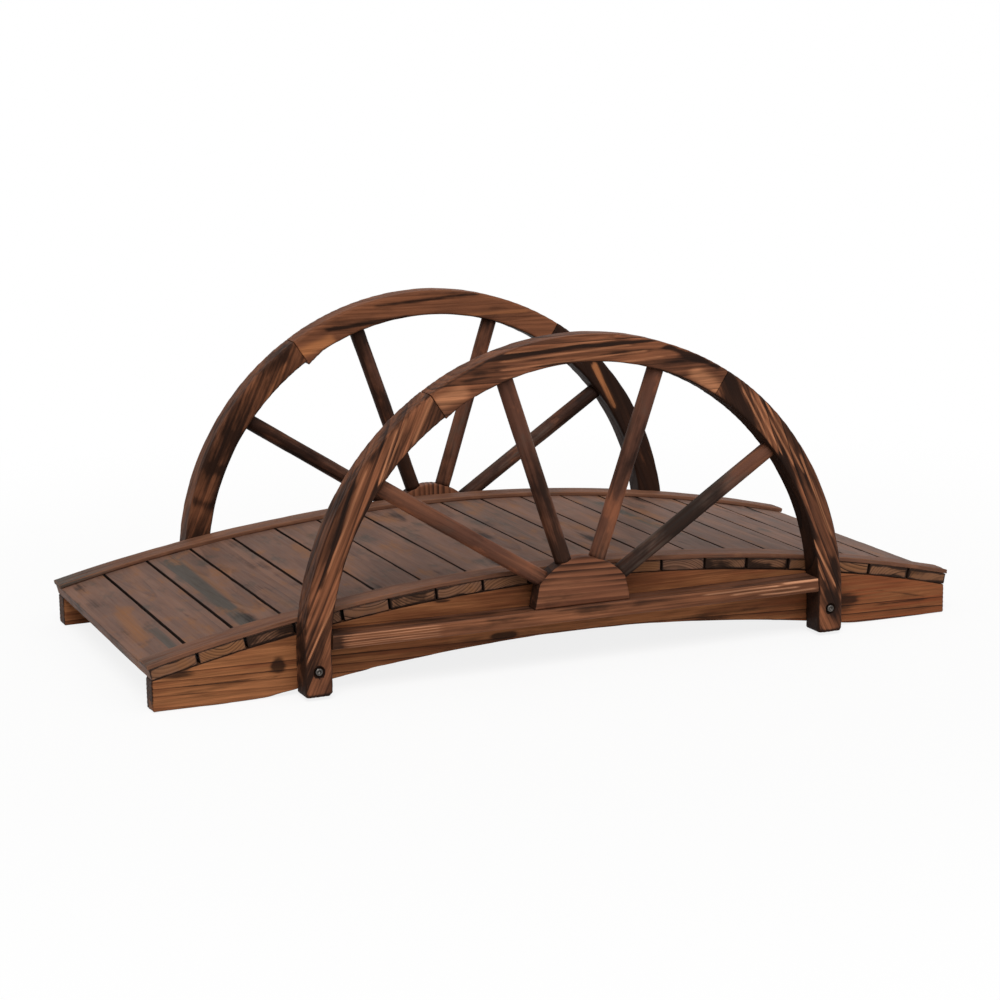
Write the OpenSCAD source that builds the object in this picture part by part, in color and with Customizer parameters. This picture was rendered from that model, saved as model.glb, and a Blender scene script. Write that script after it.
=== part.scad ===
// Arched garden footbridge in scorched fir, with a half wagon wheel on each side as a railing.
// Millimetres. X runs along the walkway, Y across it and Z up, from the ground at the middle.
// The front is the -Y side. Every piece is fixed: the bridge has no moving part.

/* [Overall] */
// Length over the ends of the deck
deck_length = 1500; // [1300:10:1800]
// Width over the outer faces of the two beams, which is also the length of a deck board
deck_width = 662; // [450:2:800]

/* [Beams] */
// Thickness of each side beam
beam_t = 38; // [25:1:50]
// Height of the beam's square-cut ends
beam_end_h = 53; // [40:1:70]
// How much higher the beam's top is at the middle than at its ends
beam_rise = 90; // [70:1:120]
// How far the deck runs past each end of the beams
beam_setback = 8; // [2:1:14]
// Length of the flat foot under each end of a beam
foot_flat = 195; // [120:1:260]
// Height of the shallow arch under a beam, at the middle
arch_rise = 50; // [30:1:60]

/* [Deck] */
// Number of boards laid across the beams
board_count = 18; // [12:1:24]
// Thickness of a deck board
board_t = 19; // [12:0.5:25]
// Open gap between neighbouring boards
board_gap = 3.5; // [2:0.5:6]
// Width of the thin strips that run along both edges of the deck
strip_w = 47; // [25:1:60]
// Thickness of the edge strips
strip_t = 8; // [5:0.5:14]

/* [Half wheels] */
// Outer radius of the wheel rim
wheel_r = 499.5; // [440:0.5:560]
// Height of the wheel's centre above the ground
wheel_z = 68; // [50:1:90]
// Width of the rim, measured along the wheel's radius
rim_w = 47; // [30:1:60]
// Thickness of the rim, measured across the bridge
rim_t = 49; // [36:1:64]
// Angle from the vertical to each of the two butt joints in the rim
joint_angle = 33; // [27:0.5:40]
// Bevel along the long edges of the rim and of the lower rail
edge_bevel = 3; // [1:0.5:5]
// Height of the wheel's two feet above the ground that the beams stand on
foot_clear = 5; // [0:0.5:10]
// Bevel at the lower corners of the feet
foot_bevel = 5; // [2:0.5:12]

/* [Lower rail] */
// Height of the rail's top above the wheel's centre
rail_up = 37.5; // [30:0.5:50]
// Height of the rail
rail_h = 25; // [18:0.5:34]
// Play at each end of the rail, against the rim
rail_play = 0.2; // [0.1:0.05:0.5]

/* [Hub] */
// Thickness of the hub block, centred on the rim
hub_t = 30; // [24:0.5:40]
// Width of the hub where it stands on the rail
hub_base_w = 178; // [150:1:210]
// Slope of the hub's sides, from the vertical
hub_slope = 12; // [4:0.5:16]
// Radius of the hub's domed top
hub_r = 98; // [90:0.5:112]
// How far the dome's centre lies below the rail's top
hub_drop = 15.5; // [10:0.5:26]

/* [Spokes] */
// Diameter of the round spokes
spoke_d = 29; // [20:0.5:36]
// Angle of the two outer spokes above the horizontal
outer_angle = 33.5; // [28:0.5:38]
// Angle of the two inner spokes above the horizontal
inner_angle = 71.5; // [68:0.5:76]
// How deep the spokes are let into the rim
socket_depth = 12; // [6:0.5:16]
// Play round a spoke in its socket, and against the hub
spoke_play = 0.15; // [0.05:0.05:0.4]

/* [Hidden] */
$fn = 96;
big_fn = 720;
// How far a cutting shape runs past what it cuts
over = 1;

beam_half = deck_length / 2 - beam_setback;
beam_mid_h = beam_end_h + beam_rise;
arch_half = beam_half - foot_flat;

// Radius of an arc from its rise and half its span
function arc_radius(rise, half) = (half * half + rise * rise) / (2 * rise);
beam_r = arc_radius(beam_rise, beam_half);
arch_r = arc_radius(arch_rise, arch_half);
deck_centre_z = beam_mid_h - beam_r;

// The boards are flat, so their upper corners stand a little outside the arc through their middles
deck_r = beam_r + board_t;
board_step = 2 * asin(deck_length / 2 / (deck_r + strip_t)) / board_count;
board_w = 2 * beam_r * tan(board_step / 2) - board_gap;
strip_play = 0.05;
strip_r = sqrt(deck_r * deck_r + board_w * board_w / 4) + strip_play;
strip_half_angle = asin(deck_length / 2 / (strip_r + strip_t));

beam_y = deck_width / 2;
wheel_y = beam_y + rim_t / 2;
rim_in_r = wheel_r - rim_w;
rail_top_z = wheel_z + rail_up;
dome_z = rail_top_z - hub_drop;

front = -1;
back = 1;
SIDES = [["front", front], ["back", back]];
SPOKES = [
    [180 - outer_angle, rail_top_z],
    [180 - inner_angle, dome_z],
    [inner_angle, dome_z],
    [outer_angle, rail_top_z]
];
// The bar of each spoke starts inside the hub, at this distance from the bridge's middle
spoke_start = 60;

function two_digits(i) = str(i < 10 ? "0" : "", i);
function board_name(i) = str("deck_board_", two_digits(i));

beam_colour = "#6e4026";
deck_colour = "#5d4a3e";
edge_colour = "#6b4936";
rim_colour = "#5f3320";
stick_colour = "#4e3226";

// Extrude an outline drawn in X and Z, centred on the given Y
module across(y, thickness) {
    translate([0, y + thickness / 2, 0]) rotate([90, 0, 0]) linear_extrude(thickness) children();
}

// Circle of radius r in X and Z, centred at height z on the bridge's middle
module disc_outline(r, z) {
    translate([0, z]) circle(r, $fn = big_fn);
}

// Side beam: square-cut ends, arched top and a shallow arch underneath
module side_beam(side) {
    color(beam_colour) across(side * (beam_y - beam_t / 2), beam_t) difference() {
        intersection() {
            translate([-beam_half, 0]) square([2 * beam_half, beam_mid_h + over]);
            disc_outline(beam_r, deck_centre_z);
        }
        disc_outline(arch_r, arch_rise - arch_r);
    }
}

// One flat board, laid square to the arc of the beams
module deck_board(i) {
    turn = (i - (board_count + 1) / 2) * board_step;
    color(deck_colour) translate([0, 0, deck_centre_z]) rotate([0, turn, 0])
        translate([-board_w / 2, -beam_y, beam_r]) cube([board_w, deck_width, board_t]);
}

// Thin bent strip on top of the board ends, cut square to the arc at both ends
module edge_strip(side) {
    reach = strip_r + strip_t + over;
    color(edge_colour) across(side * (beam_y - strip_w / 2), strip_w) intersection() {
        difference() {
            disc_outline(strip_r + strip_t, deck_centre_z);
            disc_outline(strip_r, deck_centre_z);
        }
        translate([0, deck_centre_z]) polygon([
            [0, 0],
            [-reach * tan(strip_half_angle), reach],
            [reach * tan(strip_half_angle), reach]
        ]);
    }
}

// Full disc with bevelled edges, turned about the wheel's axis
module bevelled_disc(r) {
    rotate([90, 0, 0]) rotate_extrude($fn = big_fn) polygon([
        [0, -rim_t / 2],
        [r - edge_bevel, -rim_t / 2],
        [r, -rim_t / 2 + edge_bevel],
        [r, rim_t / 2 - edge_bevel],
        [r - edge_bevel, rim_t / 2],
        [0, rim_t / 2]
    ]);
}

// Opening inside the rim, flared where the inner edges are bevelled
module rim_opening(r) {
    rotate([90, 0, 0]) rotate_extrude($fn = big_fn) polygon([
        [0, -rim_t / 2 - over],
        [r + edge_bevel + over, -rim_t / 2 - over],
        [r, -rim_t / 2 + edge_bevel],
        [r, rim_t / 2 - edge_bevel],
        [r + edge_bevel + over, rim_t / 2 + over],
        [0, rim_t / 2 + over]
    ]);
}

// Wedge between two angles above the horizontal, as wide as the rim
module wedge(from, to) {
    reach = 2 * wheel_r;
    across(0, rim_t + 2 * over) polygon([
        [0, 0],
        [reach * cos(from), reach * sin(from)],
        [reach * cos(to), reach * sin(to)]
    ]);
}

// Distance along a spoke's axis, from the bridge's middle, to the inside of the rim
function rim_reach(spoke) =
    let (lift = spoke[1] - wheel_z, rise = lift * sin(spoke[0]))
    sqrt(rise * rise + rim_in_r * rim_in_r - lift * lift) - rise;

// Round bar along a spoke's axis, between two distances from the bridge's middle
module spoke_bar(spoke, from, to, d) {
    translate([0, 0, spoke[1]]) rotate([0, 90 - spoke[0], 0]) translate([0, 0, from])
        cylinder(d = d, h = to - from);
}

// Blind socket in the rim for one spoke
module spoke_socket(k) {
    reach = rim_reach(SPOKES[k]);
    translate([0, 0, -wheel_z])
        spoke_bar(SPOKES[k], reach - rim_w, reach + socket_depth, spoke_d + 2 * spoke_play);
}

// Top of the rim, between the two butt joints
module rim_top(side) {
    color(rim_colour) translate([0, side * wheel_y, wheel_z]) difference() {
        intersection() {
            bevelled_disc(wheel_r);
            wedge(90 - joint_angle, 90 + joint_angle);
        }
        rim_opening(rim_in_r);
        spoke_socket(1);
        spoke_socket(2);
    }
}

// Straight leg under the wheel's centre line, with bevelled lower corners
module rim_leg() {
    leg_h = wheel_z - foot_clear;
    intersection() {
        translate([0, 0, -leg_h]) linear_extrude(leg_h) polygon([
            [rim_in_r, -rim_t / 2 + edge_bevel],
            [rim_in_r + edge_bevel, -rim_t / 2],
            [wheel_r - edge_bevel, -rim_t / 2],
            [wheel_r, -rim_t / 2 + edge_bevel],
            [wheel_r, rim_t / 2 - edge_bevel],
            [wheel_r - edge_bevel, rim_t / 2],
            [rim_in_r + edge_bevel, rim_t / 2],
            [rim_in_r, rim_t / 2 - edge_bevel]
        ]);
        across(0, rim_t) polygon([
            [rim_in_r, 0],
            [rim_in_r, foot_bevel - leg_h],
            [rim_in_r + foot_bevel, -leg_h],
            [wheel_r - foot_bevel, -leg_h],
            [wheel_r, foot_bevel - leg_h],
            [wheel_r, 0]
        ]);
    }
}

// Side of the rim with its leg, drawn on the right
module rim_side() {
    union() {
        difference() {
            intersection() {
                bevelled_disc(wheel_r);
                wedge(0, 90 - joint_angle);
            }
            rim_opening(rim_in_r);
            spoke_socket(3);
        }
        rim_leg();
    }
}

module rim_right(side) {
    color(rim_colour) translate([0, side * wheel_y, wheel_z]) rim_side();
}

module rim_left(side) {
    color(rim_colour) translate([0, side * wheel_y, wheel_z]) mirror([1, 0, 0]) rim_side();
}

// Hub outline: flat base on the rail, sloping sides and a domed top
module hub_outline(grow) {
    top = hub_r + hub_drop;
    half = hub_base_w / 2 + grow / cos(hub_slope);
    intersection() {
        translate([0, rail_top_z]) polygon([
            [-half, 0],
            [half, 0],
            [half - top * tan(hub_slope), top],
            [-half + top * tan(hub_slope), top]
        ]);
        disc_outline(hub_r + grow, dome_z);
    }
}

module hub(side) {
    color(rim_colour) across(side * wheel_y, hub_t) hub_outline(0);
}

// Round spoke: coped over the hub at its foot and let into the rim at its head
module spoke(side, k) {
    seat = rim_reach(SPOKES[k - 1]) + socket_depth - spoke_play;
    color(stick_colour) translate([0, side * wheel_y, 0]) difference() {
        spoke_bar(SPOKES[k - 1], spoke_start, seat, spoke_d);
        across(0, spoke_d + 2 * over) hub_outline(spoke_play);
    }
}

// Lower rail: bevelled bar against the beam's outer face, fitted between the two sides of the rim
module lower_rail(side) {
    color(beam_colour) translate([0, side * wheel_y, 0]) intersection() {
        translate([-wheel_r, 0, rail_top_z - rail_h]) rotate([90, 0, 90]) linear_extrude(2 * wheel_r) polygon([
            [-rim_t / 2, edge_bevel],
            [-rim_t / 2 + edge_bevel, 0],
            [rim_t / 2 - edge_bevel, 0],
            [rim_t / 2, edge_bevel],
            [rim_t / 2, rail_h - edge_bevel],
            [rim_t / 2 - edge_bevel, rail_h],
            [-rim_t / 2 + edge_bevel, rail_h],
            [-rim_t / 2, rail_h - edge_bevel]
        ]);
        across(0, rim_t + 2 * over) disc_outline(rim_in_r - rail_play, wheel_z);
    }
}

side_beam(front);  // front_beam
side_beam(back);  // back_beam
for (i = [1 : board_count]) {
    deck_board(i);
}
edge_strip(front);  // front_edge_strip
edge_strip(back);  // back_edge_strip
for (s = SIDES) {
    rim_left(s[1]);
    rim_top(s[1]);
    rim_right(s[1]);
    for (k = [1 : len(SPOKES)]) {
        spoke(s[1], k);
    }
    hub(s[1]);
    lower_rail(s[1]);
}
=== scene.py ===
"""Looks of the arched garden bridge: scorched, brushed fir in separate pieces, on a pale floor.

Each wooden piece is built here as a mesh of its own, with eased and worn edges and a relief of
growth rings, in place of the plain solid of the same name. Lengths are in metres.
"""
import math

import bmesh
import bpy
import numpy as np
from mathutils import Matrix, Vector


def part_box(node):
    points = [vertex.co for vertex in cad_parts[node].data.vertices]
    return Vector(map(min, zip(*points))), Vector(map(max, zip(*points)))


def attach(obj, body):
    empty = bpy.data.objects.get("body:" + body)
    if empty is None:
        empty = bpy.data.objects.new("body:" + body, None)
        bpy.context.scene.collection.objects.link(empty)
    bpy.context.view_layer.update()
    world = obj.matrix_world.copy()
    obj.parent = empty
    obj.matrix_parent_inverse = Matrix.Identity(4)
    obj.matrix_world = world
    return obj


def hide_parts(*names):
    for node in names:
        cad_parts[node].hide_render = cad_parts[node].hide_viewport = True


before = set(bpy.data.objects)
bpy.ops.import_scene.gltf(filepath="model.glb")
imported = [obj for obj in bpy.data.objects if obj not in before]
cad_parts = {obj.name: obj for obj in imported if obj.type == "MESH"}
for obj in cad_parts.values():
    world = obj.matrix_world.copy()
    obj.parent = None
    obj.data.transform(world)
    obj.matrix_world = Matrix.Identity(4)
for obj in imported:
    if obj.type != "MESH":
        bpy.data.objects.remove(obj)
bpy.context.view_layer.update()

# Sizes that the boxes of the pieces don't give
BEAM_END_H = 0.053
FOOT_FLAT = 0.195
ARCH_RISE = 0.050
BOARD_T = 0.019
BOARD_GAP = 0.0035
STRIP_T = 0.008
RIM_W = 0.047
HUB_DROP = 0.0155
HUB_SLOPE = math.radians(12)
SPOKE_R = 0.0145
OUTER_ANGLE = math.radians(33.5)
INNER_ANGLE = math.radians(71.5)

# Sizes worked out from the frame
BEAM_LOW, BEAM_HIGH = (np.array(v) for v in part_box("front_beam"))
BEAM_HALF = BEAM_HIGH[0]
BEAM_Y = -BEAM_LOW[1]
BEAM_T = BEAM_HIGH[1] - BEAM_LOW[1]
BEAM_MID_H = BEAM_HIGH[2]
RIM_LOW, RIM_HIGH = (np.array(v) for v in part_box("front_rim_left"))
TOP_HIGH = np.array(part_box("front_rim_top")[1])
WHEEL_R = -RIM_LOW[0]
WHEEL_Z = TOP_HIGH[2] - WHEEL_R
RIM_T = RIM_HIGH[1] - RIM_LOW[1]
RIM_IN_R = WHEEL_R - RIM_W
RIM_MID_R = WHEEL_R - RIM_W / 2
WHEEL_Y = BEAM_Y + RIM_T / 2
JOINT_ANGLE = math.asin(TOP_HIGH[0] / WHEEL_R)
FOOT_Z = RIM_LOW[2]
HUB_LOW, HUB_HIGH = (np.array(v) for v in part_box("front_hub"))
RAIL_LOW, RAIL_HIGH = (np.array(v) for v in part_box("front_lower_rail"))
STRIP_LOW, STRIP_HIGH = (np.array(v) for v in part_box("front_edge_strip"))
DECK_HALF = STRIP_HIGH[0]
STRIP_W = STRIP_HIGH[1] - STRIP_LOW[1]
BOARDS = sorted(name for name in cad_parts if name.startswith("deck_board_"))


def arc_radius(rise, half):
    """Radius of an arc from its rise and half its span."""
    return (half * half + rise * rise) / (2 * rise)


BEAM_R = arc_radius(BEAM_MID_H - BEAM_END_H, BEAM_HALF)
ARCH_HALF = BEAM_HALF - FOOT_FLAT
ARCH_R = arc_radius(ARCH_RISE, ARCH_HALF)
DECK_CENTRE_Z = BEAM_MID_H - BEAM_R
DECK_R = BEAM_R + BOARD_T
BOARD_STEP = 2 * math.asin(DECK_HALF / (DECK_R + STRIP_T)) / len(BOARDS)
BOARD_W = 2 * BEAM_R * math.tan(BOARD_STEP / 2) - BOARD_GAP
STRIP_R = math.hypot(DECK_R, BOARD_W / 2)
STRIP_HALF_ANGLE = math.asin(DECK_HALF / (STRIP_R + STRIP_T))
HUB_BASE_Z = HUB_LOW[2]
HUB_R = HUB_HIGH[2] - HUB_BASE_Z + HUB_DROP
DOME_Z = HUB_BASE_Z - HUB_DROP
SIDES = {"front": -1, "back": 1}

# Small forms
ARCH_SOFT = 0.004
JOINT_GAP = 0.0001
RAIL_GAP = 0.0002
SPOKE_BITE = 0.0012
EAR_LENGTH = 0.042
BOLT_R = 0.0068
BORE_R = 0.0100
# Darkening of the counterbore's walls: char, and painted shade in the recess
BORE_SHADE_AND_CHAR = 5.0
BORE_DEPTH = 0.0038
BOLT_Z = 0.0475
BOLT_SEAT = 0.25
# Radii and heights of a bolt head from its socket outwards, as shares of its radius
BOLT_PROFILE = [
    (0.50, 0.0), (0.50, 0.32), (0.60, 0.46), (0.78, 0.42), (0.93, 0.26), (1.0, 0.05), (1.0, -BOLT_SEAT),
]

# Wear and relief
CHIP_DEPTH = 0.0014
CHIP_REACH = 0.007
SWELL = 0.0004
KNOT_DENT = 0.0006
RING_RELIEF = 0.00035
BOARD_RELIEF = 0.00025
RIM_WEAR = 0.4
SHARP_SHARE = 0.15
TEXTURE_SHIFT = 0.37

# Mesh spacing
ALONG = 0.009
BEAM_ALONG = 0.005
CLOSE = 0.0027
ACROSS = 0.0034
FINE = 0.0021
FINEST = 0.0017
EASE = 0.0028
RIM_EASE = 0.0048
BOARD_EASE = 0.0011
STRIP_FINE = 0.002
STRIP_EASE = 0.0016
RAIL_FINE = 0.0016
FOOT_FINE = 0.0025
FOOT_FINE_AT = 0.005
FOOT_FINE_REACH = 0.018
RIM_SPACINGS = (CLOSE, FINEST, FINEST)
RIM_EASES = (EASE, RIM_EASE, RIM_EASE)


def noise(points, seed):
    """Smooth noise from -1 to 1, with one lattice cell a unit."""
    cell = np.floor(points).astype(np.int64)
    t = points - cell
    t = t * t * t * (t * (t * 6 - 15) + 10)
    total = np.zeros(len(points))
    for corner in np.ndindex(2, 2, 2):
        h = seed * 2654435761
        weight = 1.0
        for axis, prime in enumerate((73856093, 19349663, 83492791)):
            h = h ^ ((cell[:, axis] + corner[axis]) * prime)
            weight = weight * np.where(corner[axis], t[:, axis], 1 - t[:, axis])
        h = h & 0xFFFFFFFF
        for step, factor in ((15, 2246822519), (13, 3266489917)):
            h = ((h ^ (h >> step)) * factor) & 0xFFFFFFFF
        total += (((h ^ (h >> 16)) & 0xFFFF) / 32767.5 - 1) * weight
    return total


def smoothstep(low, high, x):
    """Ramp from 0 at low to 1 at high."""
    t = np.clip((x - low) / (high - low), 0, 1)
    return t * t * (3 - 2 * t)


def lines(half, spacing, ease, fine=()):
    """Grid lines from -half to half, closer at the eased edges and near each fine place."""
    count = max(2, int(round(2 * (half - ease) / spacing)) + 1)
    inner = np.linspace(-half + ease, half - ease, count)
    edge = half - ease * np.array([0, 0.35, 0.68])
    places = [inner, edge, -edge]
    for place, reach in fine:
        close = np.arange(place - reach, place + reach, FOOT_FINE)
        places.append(np.clip(close, -half + ease, half - ease))
    flat = np.sort(np.concatenate(places))
    keep = np.concatenate([[True], np.diff(flat) > 0.25 * ease])
    keep[-1] = True
    return flat[keep]


def shell(a, b, c):
    """Points and quads of a box's surface, gridded by three lists of lines."""
    size = (len(a), len(b), len(c))
    i, j, k = np.meshgrid(*(np.arange(n) for n in size), indexing="ij")
    skin = (i == 0) | (i == size[0] - 1) | (j == 0) | (j == size[1] - 1) | (k == 0) | (k == size[2] - 1)
    index = np.full(size, -1)
    index[skin] = np.arange(skin.sum())
    points = np.stack([a[i[skin]], b[j[skin]], c[k[skin]]], 1)
    quads = []
    for axis in range(3):
        turned = np.moveaxis(index, (axis, (axis + 1) % 3, (axis + 2) % 3), (0, 1, 2))
        for end, flip in ((0, True), (-1, False)):
            g = turned[end]
            ring = [g[:-1, :-1], g[1:, :-1], g[1:, 1:], g[:-1, 1:]]
            if flip:
                ring.reverse()
            quads.append(np.stack(ring, -1).reshape(-1, 4))
    return points, np.concatenate(quads)


def gridded(half, spacings, eases=(EASE,) * 3, fine=()):
    """Points and quads of a box from its half sizes, with the spacing and the eased edge of each axis."""
    return shell(*map(lines, half, spacings, eases, (fine, (), ())))


def ease_edges(points, half, radius, ends=True):
    """Rounds a box's edges; returns the points, their normals and the distance to the nearest edge.

    With ends off, the two ends of the first axis stay sharp and don't count as edges.
    """
    radii = np.array([radius if ends else radius * SHARP_SHARE, radius, radius])
    inner = np.clip(points, -(half - radii), half - radii)
    out = (points - inner) / radii
    normal = out / np.linalg.norm(out, axis=1)[:, None]
    to_face = half - np.abs(points)
    if not ends:
        to_face[:, 0] = 1.0
    distance = np.sort(to_face, axis=1)[:, 1]
    if not ends:
        at_end = np.abs(points[:, 0]) >= half[..., 0] * 0.99999
        distance = np.where(at_end, np.minimum(to_face[:, 1], to_face[:, 2]), distance)
    return inner + normal * radii, normal, distance


def eased_box(half, spacings, eases=(EASE,) * 3, ends=True, fine=()):
    """A gridded box rounded by the last ease: its quads, points, normals and distances to an edge."""
    box, quads = gridded(half, spacings, eases, fine)
    return quads, *ease_edges(box, half, eases[-1], ends)


def spot(g, along, across, reach_along, reach_across):
    """Weight of a soft oval spot at each point, from its place and its two reaches."""
    spread = ((g[:, 0] - along) / reach_along) ** 2 + ((g[:, 1] - across) / reach_across) ** 2
    return np.exp(-spread)


class Grain:
    """How one piece was sawn from its log: where the pith lies, and how the rings wander."""

    def __init__(self, seed, pith, tilt, ring, wander=0.004, knots=()):
        self.seed = seed
        self.pith, self.tilt = pith, tilt
        self.ring, self.wander = ring, wander
        self.knots = knots
        self.shift = np.random.default_rng(seed).uniform(-40, 40, 3)

    def noise(self, g, scale, layer):
        """One layer of noise, with its scales along, across and through the piece."""
        return noise(g * np.array(scale) + self.shift, self.seed + layer)

    def rings(self, g):
        """Number of growth rings between the pith and each point of the piece."""
        offsets = []
        for k in (0, 1):
            wander = self.wander * self.noise(g, (2.2, 9.0, 9.0), k)
            offsets.append(g[:, k + 1] - self.pith[k] + self.tilt[k] * g[:, 0] + wander)
        distance = np.hypot(*offsets)
        count = distance / self.ring
        years = np.zeros((len(g), 3))
        years[:, 0] = distance * 0.3 / self.ring
        count += 0.9 * noise(years + self.shift[0], self.seed + 6)
        count += 0.4 * self.noise(g, (3.0, 30.0, 30.0), 2)
        for along, across, reach in self.knots:
            count += spot(g, along, across, 2.6 * reach, 1.3 * reach)
        return count

    def knot_burn(self, g):
        """Darkness of the knots at each point."""
        mark_strength = np.zeros(len(g))
        for along, across, reach in self.knots:
            mark_strength += 3.0 * spot(g, along, across, 1.2 * reach, reach)
        return mark_strength


def late_wood(rings):
    """Height of the hard late wood within each ring: a slow rise and a quick fall."""
    t = rings - np.floor(rings)
    return smoothstep(0.25, 0.82, t) * (1 - smoothstep(0.9, 1.0, t))


def add_object(name, data):
    """Adds an object to the scene."""
    thing = bpy.data.objects.new(name, data)
    bpy.context.collection.objects.link(thing)
    return thing


def build(name, points, quads, facts, material):
    """Makes the mesh object of one piece, in place of the node of the same name."""
    mesh = bpy.data.meshes.new(name + "_wood")
    corners = points[quads]
    normal = np.cross(corners[:, 1] - corners[:, 0], corners[:, 2] - corners[:, 0])
    if np.einsum("ij,ij->", normal, corners[:, 0] - points.mean(0)) < 0:
        quads = quads[:, ::-1]
    mesh.from_pydata(points.tolist(), [], quads.tolist())
    for key, values in facts.items():
        kind, field = ("FLOAT_VECTOR", "vector") if values.ndim == 2 else ("FLOAT", "value")
        mesh.attributes.new(key, kind, "POINT").data.foreach_set(field, values.astype(np.float32).ravel())
    mesh.shade_smooth()
    mesh.materials.append(material)
    piece = add_object(name + "_wood", mesh)
    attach(piece, "root")
    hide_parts(name)
    return piece


def stroke_weight(g, stroke, wobble):
    """How much a stroke covers each point: it runs between two places along and across the grain."""
    along_0, across_0, along_1, across_1, width, _ = stroke
    along = g[:, 0] + 0.003 * wobble
    across = g[:, 1] + (0.0006 + 0.2 * width) * wobble
    run = np.array([along_1 - along_0, across_1 - across_0])
    t = np.clip(((along - along_0) * run[0] + (across - across_0) * run[1]) / (run @ run), 0, 1)
    fade = max(1.2 * width, 0.012 * abs(run[0]) / math.hypot(*run))
    off_along = (along - along_0 - t * run[0]) / fade
    off_across = (across - across_0 - t * run[1]) / width
    return np.exp(-off_along ** 2 - off_across ** 2)


def dress(local, normal, edge, g, grain, tone=0.0, tint=0.0, patches=(), strokes=(), wear=1.0,
          relief=RING_RELIEF, faces=0.0, bare=0.0, show=1.0, mask=1.0):
    """Worn points of a piece and the facts that its material reads.

    tone darkens the whole piece and faces some of its faces, partly as painted shade, tint greys it, bare
    leaves it unscorched and show brings out its rings. Each patch is a place along and across the grain, its
    two reaches and its strength. Each stroke runs between two such places; it scorches (beside the beam's
    legs it is painted shade), and with a negative strength it lightens, where the mask lets it.
    """
    rings = grain.rings(g)
    swell = grain.noise(g, (4.0, 16.0, 16.0), 3)
    chip = grain.noise(g, (30.0, 90.0, 90.0), 4)
    nick = grain.noise(g, (11.0, 40.0, 40.0), 5)
    wobble = grain.noise(g, (16.0, 70.0, 70.0), 7)
    near = 1 - smoothstep(0.0, CHIP_REACH, edge)
    chips = 0.2 + smoothstep(0.1, 0.8, chip) + 1.2 * smoothstep(0.5, 0.9, nick)
    knots = grain.knot_burn(g)
    lift = relief * (late_wood(rings) - 0.5) + SWELL * swell
    lift = lift - CHIP_DEPTH * wear * near * chips - KNOT_DENT * np.clip(knots, 0, 1)
    mark_strength = tone + faces + knots
    pale = np.zeros(len(g)) + bare
    for *oval, strength in patches:
        mark_strength += strength * spot(g, *oval)
    for stroke in strokes:
        weight = mask * stroke_weight(g, stroke, wobble)
        strength = stroke[-1]
        mark_strength += max(strength, 0) * weight
        pale = np.maximum(pale, -min(strength, 0) * weight)
    facts = {"rings": rings, "edge": edge, "mark_strength": mark_strength, "pale": pale}
    facts["grain"] = g + grain.shift * TEXTURE_SHIFT
    facts["tint"] = np.zeros(len(g)) + tint
    facts["show"] = np.zeros(len(g)) + show
    return local + normal * lift[:, None], facts


# Materials

class Value:
    """A value in a shader; sums, products and ramps of values become nodes of their own."""

    def __init__(self, shader, socket):
        self.shader = shader
        self.socket = socket

    def calc(self, operation, *others, clamp=False):
        """One math node of this value and others, which may be numbers."""
        inputs = dict(enumerate((self, *others)))
        return self.shader.add("ShaderNodeMath", inputs, operation=operation, use_clamp=clamp)

    def __add__(self, other):
        return self.calc("ADD", other)

    def __sub__(self, other):
        return self.calc("SUBTRACT", other)

    def __mul__(self, other):
        return self.calc("MULTIPLY", other)

    def ramp(self, low, high, out_low=0.0, out_high=1.0):
        """Smooth ramp from one range to another."""
        ends = {"From Min": low, "From Max": high, "To Min": out_low, "To Max": out_high}
        return self.shader.add("ShaderNodeMapRange", {"Value": self, **ends}, interpolation_type="SMOOTHSTEP")


class Shader:
    """Builds the nodes of a material or a world."""

    def __init__(self, owner):
        owner.use_nodes = True
        self.tree = owner.node_tree
        self.tree.nodes.clear()

    def add(self, kind, inputs=None, out=0, **settings):
        """Adds a node with its settings, links or sets its inputs, and gives one of its outputs."""
        node = self.tree.nodes.new(kind)
        for key, value in settings.items():
            setattr(node, key, value)
        for key, value in (inputs or {}).items():
            if isinstance(value, Value):
                self.tree.links.new(value.socket, node.inputs[key])
            else:
                node.inputs[key].default_value = value
        return Value(self, node.outputs[out])

    def blend(self, factor, a, b):
        """Mixes two colours."""
        return self.add("ShaderNodeMix", {0: factor, 6: a, 7: b}, 2, data_type="RGBA")

    def fact(self, name, output="Fac"):
        """Reads a named fact of the mesh."""
        return self.add("ShaderNodeAttribute", out=output, attribute_name=name)

    def noise(self, place, stretch, detail, rough):
        """Noise with a scale of its own along each axis."""
        scaled = self.add("ShaderNodeVectorMath", {0: place, 1: stretch}, operation="MULTIPLY")
        inputs = {"Vector": scaled, "Scale": 1.0, "Detail": detail, "Roughness": rough}
        return self.add("ShaderNodeTexNoise", inputs, "Fac")

    def seen(self):
        """One for rays that show a thing to the eye: straight, off gloss or through glass."""
        names = ("Is Camera Ray", "Is Glossy Ray", "Is Transmission Ray")
        straight, gloss, glass = (self.add("ShaderNodeLightPath", out=name) for name in names)
        return straight.calc("MAXIMUM", gloss).calc("MAXIMUM", glass)

    def mix(self, factor, first, second):
        """Mixes two shaders."""
        return self.add("ShaderNodeMixShader", {0: factor, 1: first, 2: second})

    def close(self, kind, surface):
        """Ends the nodes in an output."""
        self.tree.links.new(surface.socket, self.tree.nodes.new(kind).inputs["Surface"])


def rgb(r, g, b):
    """Linear colour from the values of a colour picker, each from 11 to 255."""
    return (*(((v / 255 + 0.055) / 1.055) ** 2.4 for v in (r, g, b)), 1.0)


# Colour of char, also used for painted shade
CHAR_AND_SHADE = rgb(22, 14, 11)
WOOD_SPECULAR = 0.06
BUMP_STRENGTH = 0.5
BUMP_DEPTH = 0.0009
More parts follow.
